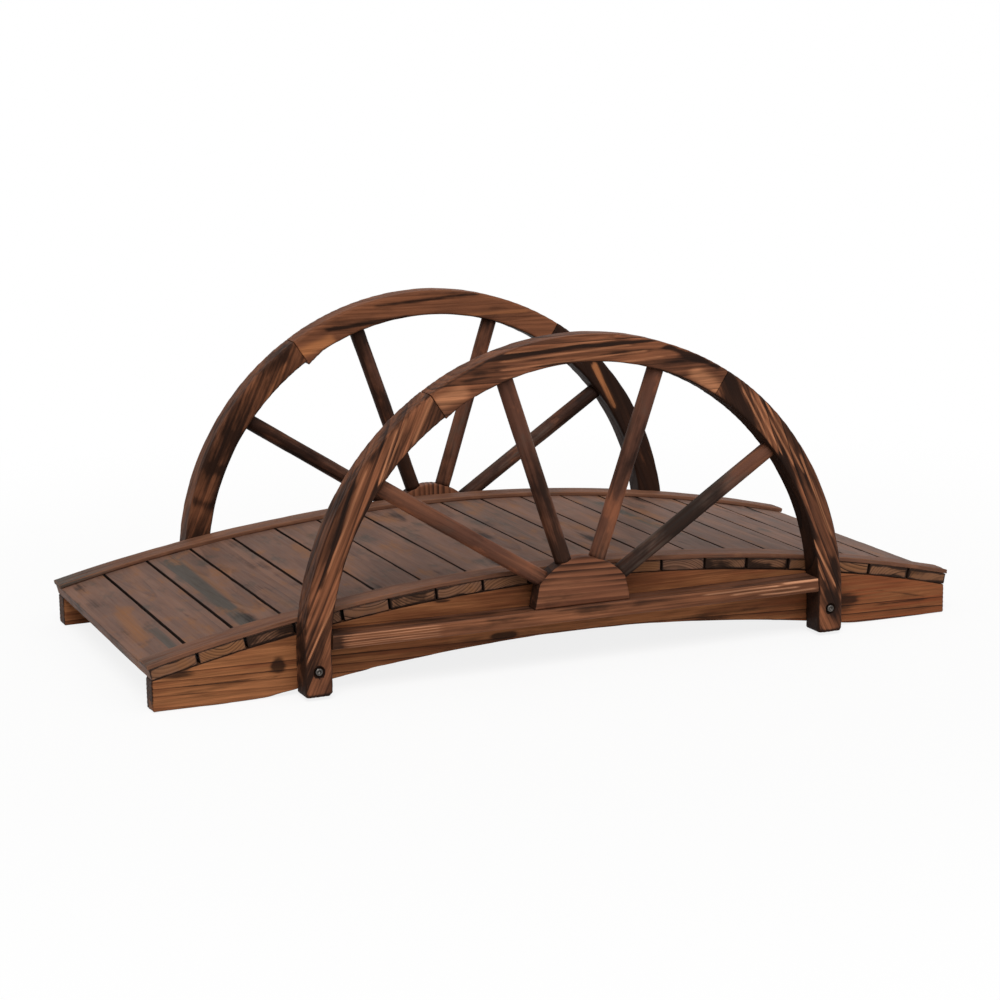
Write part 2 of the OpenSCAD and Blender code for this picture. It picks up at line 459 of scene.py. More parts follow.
# Stretch along, across and through the grain, detail and roughness of the wood's noises
FIBRE_NOISE = ((14.0, 420.0, 420.0), 3.0, 0.6)
STREAK_NOISE = ((4.5, 200.0, 200.0), 2.0, 0.55)
CLOUD_NOISE = ((5.0, 24.0, 24.0), 3.0, 0.55)
FIGURE_NOISE = ((3.5, 14.0, 14.0), 2.0, 0.5)


class WoodShader(Shader):
    """Reads the facts of a wooden piece and builds the parts of its looks."""

    def __init__(self, material, smoke_size, blot_size):
        super().__init__(material)
        grain = self.fact("grain", "Vector")
        rings = self.fact("rings")
        self.show = self.fact("show")
        self.turn = rings.calc("FRACT")
        year = {"W": rings.calc("FLOOR")}
        self.mood = self.add("ShaderNodeTexWhiteNoise", year, "Value", noise_dimensions="1D")
        # Fibres show along the grain and hardly at all on end grain
        calm = self.show.ramp(1.0, 2.0, 1.0, 0.15)
        self.fibre, self.streak = (
            (self.noise(grain, *layer) - 0.5).calc("MULTIPLY_ADD", calm, 0.5)
            for layer in (FIBRE_NOISE, STREAK_NOISE)
        )
        self.cloud = self.noise(grain, *CLOUD_NOISE)
        self.smoke = self.noise(grain, smoke_size, 4.0, 0.6)
        self.blot = self.noise(grain, blot_size, 5.0, 0.6)
        figure = self.noise(grain, *FIGURE_NOISE).ramp(0.36, 0.64, 0.3, 1.0)
        self.figure = figure.calc("MAXIMUM", self.show.ramp(1.0, 3.0))

    def bare(self):
        """Where the wood is left bare."""
        return (self.fact("pale") + self.streak * 0.2).ramp(0.2, 1.0)

    def early_wood(self, light, warm, grey, pale, stain, blush, bare):
        """Soft wood from light to warm, greyed in streaks, stained in blots and pale where it is bare."""
        base = self.blend((self.cloud + self.mood * 0.2).ramp(0.42, 0.74), light, warm)
        base = self.blend((self.fact("tint") + self.streak).ramp(0.66, 1.2), base, grey)
        if stain:
            base = self.blend(self.blot.ramp(0.47, 0.34, 0.0, blush), base, pale)
            base = self.blend(self.blot.ramp(0.53, 0.72, 0.0, stain), base, grey)
        return self.blend(bare, base, pale)

    def late_wood(self, ring_lines, bands):
        """Hard wood: a soft band in every ring and a thin line in some."""
        soft = self.turn.ramp(0.15, 0.85) * bands
        thin = self.turn.ramp(0.58, 0.88) * self.mood.ramp(0.25, 0.95, 0.0, ring_lines)
        late = soft.calc("MAXIMUM", thin) * self.turn.ramp(0.9, 1.0, 1.0, 0.0)
        return late.calc("MULTIPLY", self.figure * self.show, clamp=True)

    def brushed(self, colour, fibres, brush):
        """The colour with fine fibres and brush streaks in it."""
        fine = self.fibre.ramp(0.25, 0.75, 1 - fibres, 1 + 0.9 * fibres)
        broad = self.streak.ramp(0.28, 0.72, 1 - brush, 1 + brush)
        return self.add("ShaderNodeVectorMath", {0: colour, "Scale": fine * broad}, operation="SCALE")

    def scorch_and_painted_shade(self, late, bare, scorch_and_shade):
        """Scorch marks and painted shade, a little stronger in the late wood and weaker where the wood is
        bare.
        """
        smoke_and_shade = self.smoke + self.fact("mark_strength") * 0.2 + late * 0.08
        smoke_and_shade = smoke_and_shade + self.streak.ramp(0.3, 0.7, 0.05, -0.05) - bare * 0.45
        return smoke_and_shade.ramp(0.45, 0.82).calc("MULTIPLY", scorch_and_shade, clamp=True)

    def edge_wear_and_painted_light(self, mark_strength, width):
        """How far the edges take a colour of their own: where dark, char and painted bevel shade; where pale,
        wear and a painted highlight.
        """
        reach = self.blot.ramp(0.3, 0.7, 0.3 * width, 1.6 * width)
        return self.fact("edge").calc("DIVIDE", reach).ramp(0.2, 1.2, 1.0, 0.0) * mark_strength

    def relief(self, late):
        """Normal with the fine relief of rings, fibres and streaks."""
        height = late * 0.5 + self.fibre * 0.6 + self.streak * 0.9
        inputs = {"Strength": BUMP_STRENGTH, "Distance": BUMP_DEPTH, "Height": height}
        return self.add("ShaderNodeBump", inputs)


def scorched_wood(name, light, warm, dark, grey, pale, ring_lines=0.8, bands=0.35, brush=0.15, stain=0.0,
                  blush=0.0, scorch_and_shade=0.85, edge=CHAR_AND_SHADE, edge_strength=0.4, edge_width=0.0025,
                  smoke_size=(8.0, 30.0, 30.0), blot_size=(15.0, 30.0, 30.0), fibres=0.14):
    """Scorched and brushed fir: uneven growth rings, stains, scorch marks with some painted shade, edges in a
    colour of their own (char and painted bevel shade where dark, wear and a painted highlight where pale) and
    fine fibres.
    """
    material = bpy.data.materials.new(name)
    wood = WoodShader(material, smoke_size, blot_size)
    bare = wood.bare()
    late = wood.late_wood(ring_lines, bands)
    base = wood.early_wood(light, warm, grey, pale, stain, blush, bare)
    colour = wood.brushed(wood.blend(late, base, dark), fibres, brush)
    # Char colour, used for the scorch marks and for the painted shade that the marks carry
    colour = wood.blend(wood.scorch_and_painted_shade(late, bare, scorch_and_shade), colour, CHAR_AND_SHADE)
    # Edge colour: char and painted bevel shade where dark, wear and a painted highlight where pale
    colour = wood.blend(wood.edge_wear_and_painted_light(edge_strength, edge_width), colour, edge)
    surface = wood.add("ShaderNodeBsdfPrincipled", {
        "Base Color": colour,
        "Roughness": wood.fibre.ramp(0.25, 0.75, 0.5, 0.68),
        "Specular IOR Level": WOOD_SPECULAR,
        "Normal": wood.relief(late),
    })
    wood.close("ShaderNodeOutputMaterial", surface)
    return material


BEAM_WOOD = scorched_wood(
    "beam_wood", rgb(140, 90, 57), rgb(106, 62, 38), rgb(44, 25, 16), rgb(108, 58, 34), rgb(160, 104, 68),
    ring_lines=0.95, bands=0.15, brush=0.18, edge_strength=0.5, edge_width=0.002, fibres=0.2)
DECK_WOOD = scorched_wood(
    "deck_wood", rgb(116, 86, 72), rgb(99, 75, 65), rgb(44, 30, 22), rgb(72, 65, 59), rgb(124, 83, 54),
    ring_lines=0.25, bands=0.1, brush=0.05, stain=0.8, blush=0.65, scorch_and_shade=0.9, edge_strength=0.35,
    edge_width=0.0014, smoke_size=(8.0, 15.0, 15.0), blot_size=(9.0, 20.0, 20.0), fibres=0.08)
# Pale edges: wear, and a painted highlight along them
STRIP_WOOD = scorched_wood(
    "strip_wood", rgb(116, 79, 60), rgb(97, 65, 50), rgb(54, 37, 29), rgb(74, 66, 60), rgb(132, 90, 66),
    ring_lines=0.3, bands=0.14, brush=0.08, stain=0.5, blush=0.4, scorch_and_shade=0.7, edge=rgb(132, 90, 66),
    edge_strength=0.35, edge_width=0.002)
WHEEL_WOOD = scorched_wood(
    "wheel_wood", rgb(126, 78, 53), rgb(88, 54, 38), rgb(36, 22, 16), rgb(78, 58, 44), rgb(162, 108, 76),
    ring_lines=0.9, bands=0.4, brush=0.28, scorch_and_shade=0.9, edge_strength=0.15, edge_width=0.003, fibres=0.22)
FAR_WHEEL_WOOD = scorched_wood(
    "far_wheel_wood", rgb(122, 76, 52), rgb(92, 57, 40), rgb(44, 27, 20), rgb(84, 58, 42), rgb(162, 104, 66),
    ring_lines=0.6, bands=0.3, brush=0.12, scorch_and_shade=0.9, edge_strength=0.15, edge_width=0.003, fibres=0.12)
RIM_WOODS = {"front": WHEEL_WOOD, "back": FAR_WHEEL_WOOD}
# Scorching and greyness of the rims' outer faces
RIM_OUTSIDES = {"front": 0.4, "back": -0.3}
OUTSIDE_GREY = 0.25
# Pale edges: wear, and a painted highlight along them
RAIL_WOOD = scorched_wood(
    "rail_wood", rgb(120, 76, 52), rgb(94, 58, 40), rgb(48, 30, 22), rgb(80, 65, 60), rgb(184, 132, 100),
    ring_lines=0.85, bands=0.35, brush=0.26, scorch_and_shade=0.8, edge=rgb(146, 98, 72), edge_strength=0.25, fibres=0.2)
HUB_WOOD = scorched_wood(
    "hub_wood", rgb(124, 79, 56), rgb(106, 65, 46), rgb(48, 29, 21), rgb(84, 62, 50), rgb(150, 98, 70),
    ring_lines=0.9, bands=0.95, brush=0.1, edge_strength=0.12, edge_width=0.002, fibres=0.1)
SPOKE_WOOD = scorched_wood(
    "spoke_wood", rgb(110, 70, 51), rgb(86, 55, 43), rgb(48, 31, 24), rgb(76, 63, 55), rgb(138, 84, 58),
    ring_lines=0.15, bands=0.1, brush=0.08, stain=0.75, blush=0.6,
    smoke_size=(9.0, 22.0, 22.0), blot_size=(10.0, 22.0, 22.0), fibres=0.1)


def steel():
    """Dull blackened steel of the bolt heads."""
    material = bpy.data.materials.new("bolt_steel")
    metal = Shader(material)
    spots = metal.noise(metal.add("ShaderNodeTexCoord", out="Object"), (900.0, 900.0, 900.0), 3.0, 0.6)
    surface = metal.add("ShaderNodeBsdfPrincipled", {
        "Base Color": metal.blend(spots.ramp(0.35, 0.7), rgb(96, 92, 88), rgb(52, 46, 42)),
        "Roughness": spots.ramp(0.3, 0.7, 0.25, 0.5),
        "Metallic": 1.0,
    })
    metal.close("ShaderNodeOutputMaterial", surface)
    return material


BOLT_STEEL = steel()


def row(first, last, count, width, strength):
    """Marks side by side, spread evenly from the first to the last one."""
    return [(*ends, width, strength) for ends in np.linspace(first, last, count)]


# Heights at which the marks on the beams and on the top rims have the place 0 across
BEAM_GRAIN_Z = 0.07
TOP_GRAIN_Z = WHEEL_Z + RIM_MID_R * 0.94
# Marks on the pieces, in round numbers along and across the grain: a knot has its place and reach, a patch
# its place, two reaches and strength, a stroke its two ends, half width and strength, below zero where pale
BEAM_KNOTS = {"front": [(0.215, 0.012, 0.005)], "back": [(0.31, 0.01, 0.008), (-0.42, -0.02, 0.006)]}
BEAM_PATCHES = [
    (0.4, -0.03, 0.35, 0.04, 0.7),
    (0.0, -0.03, 0.35, 0.03, 1.4),
    (-0.5, -0.05, 0.04, 0.02, 1.2),
    # Large knot beside the left leg
    (-0.53, -0.016, 0.014, 0.013, 3.2),
    (-0.53, -0.016, 0.009, 0.009, 1.6),
    # Stains at both ends
    (-0.7, -0.01, 0.04, 0.008, 3.0),
    (-0.69, -0.045, 0.05, 0.005, 1.6),
    (-0.61, -0.04, 0.04, 0.005, 1.3),
    (0.53, -0.025, 0.03, 0.02, 1.6),
]
BEAM_STROKES = {
    "front": [
        # Grain lines at the left end
        (-0.74, -0.03, -0.54, -0.035, 0.0015, 1.6),
        (-0.67, -0.025, -0.55, -0.025, 0.0015, 1.3),
        (-0.66, 0.01, -0.5, 0.015, 0.0015, 1.4),
        (-0.74, -0.05, -0.58, -0.055, 0.0015, 1.0),
        # Grain lines that draw together at the right end
        *row((0.61, -0.015, 0.7, -0.035), (0.61, -0.04, 0.7, -0.04), 2, 0.0015, 1.0),
        (0.55, -0.045, 0.73, -0.055, 0.0015, 0.8),
        # Shade beside the legs
        (0.52, -0.02, 0.55, -0.025, 0.006, 1.6),
        (-0.49, -0.025, -0.49, 0.005, 0.007, 1.4),
        # Small burnt spots
        (-0.14, -0.012, -0.12, -0.012, 0.005, 3.4),
        (-0.71, -0.005, -0.7, 0.0, 0.0035, 2.2),
        (-0.39, 0.05, -0.375, 0.05, 0.003, 3.0),
        (-0.245, 0.06, -0.235, 0.06, 0.0025, 3.0),
    ],
    "back": [
        (-0.62, -0.03, -0.4, -0.03, 0.0015, 1.4),
        (0.2, 0.02, 0.5, 0.01, 0.0015, 1.4),
        (0.1, 0.0, 0.16, 0.0, 0.006, 2.0),
    ],
}
# Scorched and pale marks on some deck boards, counted from the left end
BOARD_STROKES = {
    0: [
        (0.02, 0.005, -0.16, -0.005, 0.018, -0.7),
        (-0.26, -0.01, -0.31, -0.01, 0.008, 0.6),
        (0.1, -0.02, 0.26, -0.015, 0.01, 0.8),
    ],
    1: [
        (-0.11, 0.005, -0.16, 0.01, 0.005, 1.2),
        (0.24, -0.01, 0.12, -0.01, 0.01, -0.35),
        (-0.18, -0.02, -0.28, -0.02, 0.01, -0.35),
    ],
    2: [
        (-0.2, -0.015, -0.27, -0.01, 0.012, 1.1),
        (0.22, 0.01, -0.16, 0.005, 0.007, -0.5),
        (-0.02, 0.03, -0.22, 0.025, 0.006, -0.35),
    ],
    3: [(-0.1, -0.02, -0.24, -0.015, 0.01, -0.4), (0.18, 0.01, 0.02, 0.015, 0.012, 0.8)],
    5: [(0.1, 0.0, -0.06, 0.005, 0.012, 0.8), (0.28, -0.015, 0.16, -0.01, 0.01, -0.35)],
    7: [(0.24, 0.01, 0.1, 0.01, 0.009, 0.9), (-0.05, -0.015, -0.2, -0.015, 0.01, -0.35)],
}
# Grey bands along some of the boards
BOARD_BANDS = {
    0: [(-0.13, 0.022, -0.26, 0.022, 0.01, 0.75)],
    1: [(0.06, 0.02, -0.08, 0.02, 0.01, 0.5)],
    2: [(0.24, -0.01, -0.28, -0.015, 0.013, 0.9)],
    12: [(0.2, 0.01, -0.1, 0.015, 0.012, 0.6)],
}
RAIL_STROKES = [
    # Pale lines left and right of the hub
    *row((-0.43, 0.011, -0.27, 0.009), (-0.42, -0.011, -0.27, -0.013), 6, 0.001, -0.6),
    *row((0.18, 0.013, 0.33, 0.013), (0.34, -0.006, 0.44, -0.005), 4, 0.0015, -0.8),
    (0.39, 0.01, 0.45, 0.011, 0.0025, -1.0),
    # Dark left end and stains below the hub
    (-0.45, 0.015, -0.445, -0.01, 0.005, 2.6),
    (-0.17, 0.007, -0.1, 0.007, 0.0085, 1.2),
    (-0.075, 0.007, 0.03, 0.007, 0.0085, 0.8),
    (0.1, 0.007, 0.145, 0.007, 0.007, 1.0),
]
RIM_STROKES = {
    "front_top": [
        # Dark streaks along the grain, and thinner ones between them
        *row((-0.19, 0.0, 0.16, 0.02), (-0.15, 0.025, 0.14, 0.035), 2, 0.0045, 1.6),
        *row((-0.21, -0.01, -0.02, 0.01), (-0.16, 0.02, 0.0, 0.035), 3, 0.0025, 1.1),
        (-0.26, -0.02, -0.15, 0.03, 0.0025, 1.2),
        (-0.01, 0.05, 0.05, 0.045, 0.003, 1.2),
        (0.1, -0.005, 0.22, 0.0, 0.0075, 1.6),
        (0.16, 0.02, 0.25, -0.02, 0.0045, 2.2),
        # Pale streaks, and pale ends at the joints
        *row((-0.14, -0.01, 0.14, 0.005), (-0.14, 0.03, 0.05, 0.04), 4, 0.0022, -0.6),
        (-0.25, -0.04, -0.22, -0.03, 0.014, -1.0),
        (0.21, -0.03, 0.26, -0.065, 0.014, -0.9),
    ],
    "front_left": [
        # Pale streaks from the joint down to the foot
        (-0.26, -0.015, -0.19, -0.015, 0.006, -0.6),
        *row((-0.21, -0.043, -0.12, -0.042), (-0.19, -0.052, -0.11, -0.046), 2, 0.002, -0.8),
        (-0.11, -0.075, 0.05, -0.07, 0.003, -0.6),
        (0.02, -0.105, 0.11, -0.085, 0.0015, -0.6),
        (0.1, -0.04, 0.2, -0.043, 0.0015, -1.0),
        # Dark streaks
        (-0.25, -0.05, -0.14, -0.075, 0.007, 1.3),
        (-0.08, -0.085, 0.08, -0.073, 0.0045, 1.8),
        (-0.1, -0.048, 0.035, -0.048, 0.0045, 1.5),
        (0.15, -0.045, 0.245, -0.03, 0.02, 0.5),
    ],
    "front_right": [
        # Pale streaks from the joint down to the foot
        *row((-0.22, 0.03, -0.11, 0.037), (-0.18, 0.06, -0.04, 0.073), 4, 0.0018, -0.85),
        (-0.055, 0.08, 0.09, 0.075, 0.0025, -0.9),
        (0.07, 0.04, 0.175, 0.043, 0.002, -1.0),
        (0.11, 0.03, 0.155, 0.028, 0.0015, -0.8),
        # Dark streaks
        (-0.25, 0.01, -0.165, 0.013, 0.014, 1.8),
        (-0.08, 0.048, 0.08, 0.04, 0.007, 1.9),
        (0.14, 0.06, 0.215, 0.035, 0.005, 1.2),
        (0.195, 0.025, 0.225, 0.02, 0.01, 1.2),
    ],
    "back_top": [
        (-0.26, -0.05, -0.2, -0.03, 0.011, -1.0),
        (-0.2, -0.01, -0.05, 0.005, 0.0035, 1.8),
        (-0.1, 0.03, 0.1, 0.04, 0.004, 1.4),
        (0.05, 0.0, 0.2, 0.0, 0.005, -0.5),
    ],
    # Soft dark bands across the segment
    "back_left": [
        *row((-0.07, -0.03, -0.06, -0.075), (0.075, -0.045, 0.08, -0.09), 3, 0.0075, 1.0),
        (-0.22, -0.02, -0.12, -0.03, 0.006, -0.4),
    ],
    "back_right": [(-0.15, 0.053, -0.06, 0.056, 0.008, -0.9)],
}


# Pieces

def make_beam(side_name, side, seed):
    """Side beam: square-cut ends, arched top and a shallow arch underneath."""
    knots = BEAM_KNOTS[side_name]
    grain = Grain(seed, pith=(-0.13, 0.06 * side), tilt=(0.014, 0.02), ring=0.0062, wander=0.008, knots=knots)
    mid_half = (BEAM_MID_H - ARCH_RISE) / 2
    box, quads = gridded((BEAM_HALF, BEAM_T / 2, mid_half), (BEAM_ALONG, ACROSS, FINE))
    x = box[:, 0]
    top = DECK_CENTRE_Z + np.sqrt(BEAM_R ** 2 - x ** 2)
    under = ARCH_RISE - ARCH_R + np.sqrt(ARCH_R ** 2 - x ** 2)
    under = (under + np.sqrt(under ** 2 + ARCH_SOFT ** 2)) / 2 - ARCH_SOFT ** 2 / (4 * ARCH_RISE)
    under = np.maximum(under, 0)
    half = np.stack([np.full_like(x, BEAM_HALF), np.full_like(x, BEAM_T / 2), (top - under) / 2], 1)
    box[:, 2] *= half[:, 2] / mid_half
    eased, normal, edge = ease_edges(box, half, EASE)
    middle = (top + under) / 2
    g = np.stack([eased[:, 0], eased[:, 2] + middle - BEAM_GRAIN_Z, eased[:, 1]], 1)
    # End faces darkened as scorched end grain; the top face, hidden under the deck boards, is darkened as
    # painted shade under them
    ends = 2.4 * np.abs(normal[:, 0]) + 2.2 * smoothstep(0.2, 0.8, normal[:, 2])
    worn, facts = dress(
        eased, normal, edge, g, grain, tone=-1.0, tint=0.45 * smoothstep(0.2, 0.55, x), patches=BEAM_PATCHES,
        strokes=BEAM_STROKES[side_name], wear=0.6, faces=ends)
    worn[:, 1] += side * (BEAM_Y - BEAM_T / 2)
    worn[:, 2] += middle
    build(side_name + "_beam", worn, quads, facts, BEAM_WOOD)


def make_board(i, seed):
    """One flat deck board, laid square to the arc of the beams."""
    rng = np.random.default_rng(seed)
    draw = rng.uniform
    off_middle, depth = draw(-0.035, 0.035), draw(0.02, 0.09)
    pith = (off_middle, depth if rng.random() < 0.5 else -depth)
    tilt = (draw(-0.05, 0.05), draw(-0.04, 0.04))
    grain = Grain(seed, pith, tilt, ring=draw(0.0035, 0.006))
    half = np.array([BEAM_Y, BOARD_W / 2 + draw(-0.0005, 0.0005), BOARD_T / 2])
    quads, eased, normal, edge = eased_box(half, (ALONG, ACROSS, ACROSS), (BOARD_EASE,) * 3)
    tone, tint = draw(-1.3, -0.3), draw(-0.45, 0.3)
    for band in BOARD_BANDS.get(i, ()):
        tint = tint + band[-1] * stroke_weight(eased, band, 0.0)
    ends = smoothstep(0.4, 0.9, np.abs(normal[:, 0]))
    gap_shade = 4.0 * smoothstep(0.6, 0.95, np.abs(normal[:, 1]))
    # The board sides are painted near black as shade in the gaps between the boards; the deck's two end faces
    # are open to view and get only a little of it
    outer = {0: -1, len(BOARDS) - 1: 1}.get(i, 0)
    gap_shade = np.where(normal[:, 1] * outer > 0, 0.15, 1.0) * gap_shade
    # Dark outline round each board's end face: charred edges, and painted shade along its joints with the
    # strip above, the beam below and the gaps beside it
    char_and_shade_outline = 1 - smoothstep(0.0002, 0.0016, edge)
    end_char_and_shade = draw(0.4, 2.8) + 3.4 * char_and_shade_outline
    stains = []
    for _ in range(2):
        at = (draw(-0.3, 0.3), draw(-0.04, 0.04))
        stains.append((*at, 0.07, draw(0.006, 0.016), 1.3))
    bare = draw(0.4, 0.8) * ends * (1 - char_and_shade_outline)
    blotch = 1.4 * grain.noise(eased, (80.0, 45.0, 110.0), 8)
    worn, facts = dress(
        eased, normal, edge, eased, grain, tone, tint, stains, BOARD_STROKES.get(i, ()), wear=0.3,
        relief=BOARD_RELIEF, faces=(end_char_and_shade + blotch) * ends + gap_shade, bare=bare,
        show=1 + draw(2.0, 5.0) * ends)
    turn = (i - (len(BOARDS) - 1) / 2) * BOARD_STEP
    x, z = worn[:, 1], worn[:, 2] + BEAM_R + BOARD_T / 2
    place = np.stack([
        x * math.cos(turn) + z * math.sin(turn),
        worn[:, 0],
        z * math.cos(turn) - x * math.sin(turn) + DECK_CENTRE_Z,
    ], 1)
    build(BOARDS[i], place, quads, facts, DECK_WOOD)


def make_strip(side_name, side, seed):
    """Thin bent strip on top of the board ends."""
    mid_r = STRIP_R + STRIP_T / 2
    half = np.array([mid_r * STRIP_HALF_ANGLE, STRIP_W / 2, STRIP_T / 2])
    grain = Grain(seed, pith=(0.01, -0.045), tilt=(0.01, 0.012), ring=0.0055)
    quads, eased, normal, edge = eased_box(half, (ALONG, ACROSS, STRIP_FINE), (EASE, EASE, STRIP_EASE))
    patches = [(-half[0], 0.0, 0.07, 0.2, 1.0), (half[0], 0.0, 0.06, 0.2, 0.6)]
    grey = 0.5 * np.exp(-((eased[:, 0] + half[0]) / 0.09) ** 2) + 0.15 * side
    worn, facts = dress(eased, normal, edge, eased, grain, tone=-0.5, tint=grey, patches=patches, wear=0.4)
    turn = worn[:, 0] / mid_r
    r = mid_r + worn[:, 2]
    place = np.stack([
        r * np.sin(turn),
        side * (BEAM_Y - STRIP_W / 2) + worn[:, 1],
        r * np.cos(turn) + DECK_CENTRE_Z,
    ], 1)
    build(side_name + "_edge_strip", place, quads, facts, STRIP_WOOD)


def chord_grain(place, side, middle, direction):
    """Grain coordinates of a rim segment: along its chord, across it and through the rim."""
    x, z = place[:, 0] - middle[0], place[:, 2] - middle[1]
    along = x * direction[0] + z * direction[1]
    across = -x * direction[1] + z * direction[0]
    return np.stack([along, across, place[:, 1] - side * WHEEL_Y], 1)


def on_wheel(r, angle, y, side):
    """Points of the wheel from their radius and their angle from the top, clockwise from the front."""
    return np.stack([r * np.sin(angle), side * WHEEL_Y + y, WHEEL_Z + r * np.cos(angle)], 1)


def facing(amount):
    """One on a face that a normal looks out of, fading over its eased edges."""
    return smoothstep(0.5, 0.95, amount)


# Distance from a foot at which the darkening near it, char and painted shadow, has faded
FAR_FROM_FOOT = 1.0


def dress_rim(side_name, end_name, eased, normal, edge, g, grain, tone, show, to_foot):
    """Dresses a rim segment: scorched inside, grey outside and dark at the foot, with strokes between."""
    inside, outside = facing(-normal[:, 1]), facing(normal[:, 1])
    faces = 1.8 * inside + RIM_OUTSIDES[side_name] * outside
    # Dark band along the bottom of each foot: char, and painted shadow where the foot stands on the floor
    faces = faces + 2.5 * (1 - smoothstep(0.002, 0.007, to_foot))
    faces = faces + 1.2 * outside * (1 - smoothstep(0.03, 0.14, to_foot))
    return dress(
        eased, normal, edge, g, grain, tone, OUTSIDE_GREY * outside, wear=RIM_WEAR, faces=faces, show=show,
        strokes=RIM_STROKES[f"{side_name}_{end_name}"], mask=1 - np.maximum(inside, outside))


def make_rim_top(side_name, side, seed, tone, show, ear):
    """Top segment of the rim, between its two butt joints; an ear stands proud inside one end."""
    half = np.array([RIM_MID_R * JOINT_ANGLE - JOINT_GAP, RIM_W / 2, RIM_T / 2])
    quads, eased, normal, edge = eased_box(half, RIM_SPACINGS, RIM_EASES, ends=False)
    to_joint = half[0] + eased[:, 0]
    inward = smoothstep(0.0, 1.0, -eased[:, 1] / half[1])
    eased[:, 1] -= ear * inward * np.clip(1 - to_joint / EAR_LENGTH, 0, 1)
    grain = Grain(seed, pith=(0.19, 0.06), tilt=(0.03, -0.04), ring=0.0085, wander=0.012)
    flat = on_wheel(RIM_MID_R + eased[:, 1], eased[:, 0] / RIM_MID_R, eased[:, 2], side)
    g = chord_grain(flat, side, (0.0, TOP_GRAIN_Z), (1.0, 0.0))
    worn, facts = dress_rim(side_name, "top", eased, normal, edge, g, grain, tone, show, FAR_FROM_FOOT)
    place = on_wheel(RIM_MID_R + worn[:, 1], worn[:, 0] / RIM_MID_R, worn[:, 2], side)
    build(side_name + "_rim_top", place, quads, facts, RIM_WOODS[side_name])


def make_rim_side(side_name, side, end_name, end, seed, tone, show, bevels):
    """Side segment of the rim with its straight leg; bevels cut off the foot's inner and outer corners."""
    arc = RIM_MID_R * (math.pi / 2 - JOINT_ANGLE)
    length = arc + WHEEL_Z - FOOT_Z
    half = np.array([length / 2, RIM_W / 2, RIM_T / 2])
    fine = [(half[0] - FOOT_FINE_AT, FOOT_FINE_REACH)]
    quads, eased, normal, edge = eased_box(half, RIM_SPACINGS, RIM_EASES, ends=False, fine=fine)
    to_foot = half[0] - eased[:, 0]
    for hand, (wide, tall) in zip((-1, 1), bevels):
        corner = np.clip(hand * eased[:, 1] / half[1], 0, 1)
        eased[:, 1] -= hand * corner * wide * np.clip(1 - to_foot / tall, 0, 1)

    def bend(points):
        run = points[:, 0] + half[0]
        angle = end * (JOINT_ANGLE + np.minimum(run, arc) / RIM_MID_R)
        bent = on_wheel(RIM_MID_R + points[:, 1], angle, points[:, 2], side)
        bent[:, 2] -= np.maximum(run - arc, 0)
        return bent

    flat = bend(eased)
    start = np.array([end * math.sin(JOINT_ANGLE), math.cos(JOINT_ANGLE)]) * RIM_MID_R
    start[1] += WHEEL_Z
    foot = np.array([end * RIM_MID_R, FOOT_Z])
    chord = (foot - start) / np.linalg.norm(foot - start)
    grain = Grain(seed, pith=(0.2 * end, 0.05), tilt=(0.04 * end, 0.03), ring=0.0085, wander=0.012)
    g = chord_grain(flat, side, (start + foot) / 2, chord)
    name = f"{side_name}_rim_{end_name}"
    worn, facts = dress_rim(side_name, end_name, eased, normal, edge, g, grain, tone, show, to_foot)
    return build(name, bend(worn), quads, facts, RIM_WOODS[side_name])


def make_rail(side_name, side, seed):
    """Lower rail between the two legs, against the beam's outer face."""
    height = RAIL_HIGH[2] - RAIL_LOW[2]
    half = np.array([RAIL_HIGH[0], RIM_T / 2, height / 2])
    quads, eased, normal, edge = eased_box(half, (ALONG, FINE, RAIL_FINE), ends=False)
    grain = Grain(seed, pith=(-0.09, 0.03 * side), tilt=(0.006, 0.01), ring=0.0075)
    g = eased[:, [0, 2, 1]]
    upper = facing(normal[:, 2])
    patches = [(-half[0], 0.0, 0.03, 0.1, 1.6)]
    worn, facts = dress(
        eased, normal, edge, g, grain, tone=-0.3, tint=0.25 * upper, patches=patches, strokes=RAIL_STROKES,
        wear=0.5, faces=0.8 * upper, mask=1 - upper)
    z = (RAIL_HIGH[2] + RAIL_LOW[2]) / 2 + worn[:, 2]
    reach = np.sqrt((RIM_IN_R - RAIL_GAP) ** 2 - (z - WHEEL_Z) ** 2)
    place = np.stack([worn[:, 0] * reach / half[0], side * WHEEL_Y + worn[:, 1], z], 1)
    build(side_name + "_lower_rail", place, quads, facts, RAIL_WOOD)


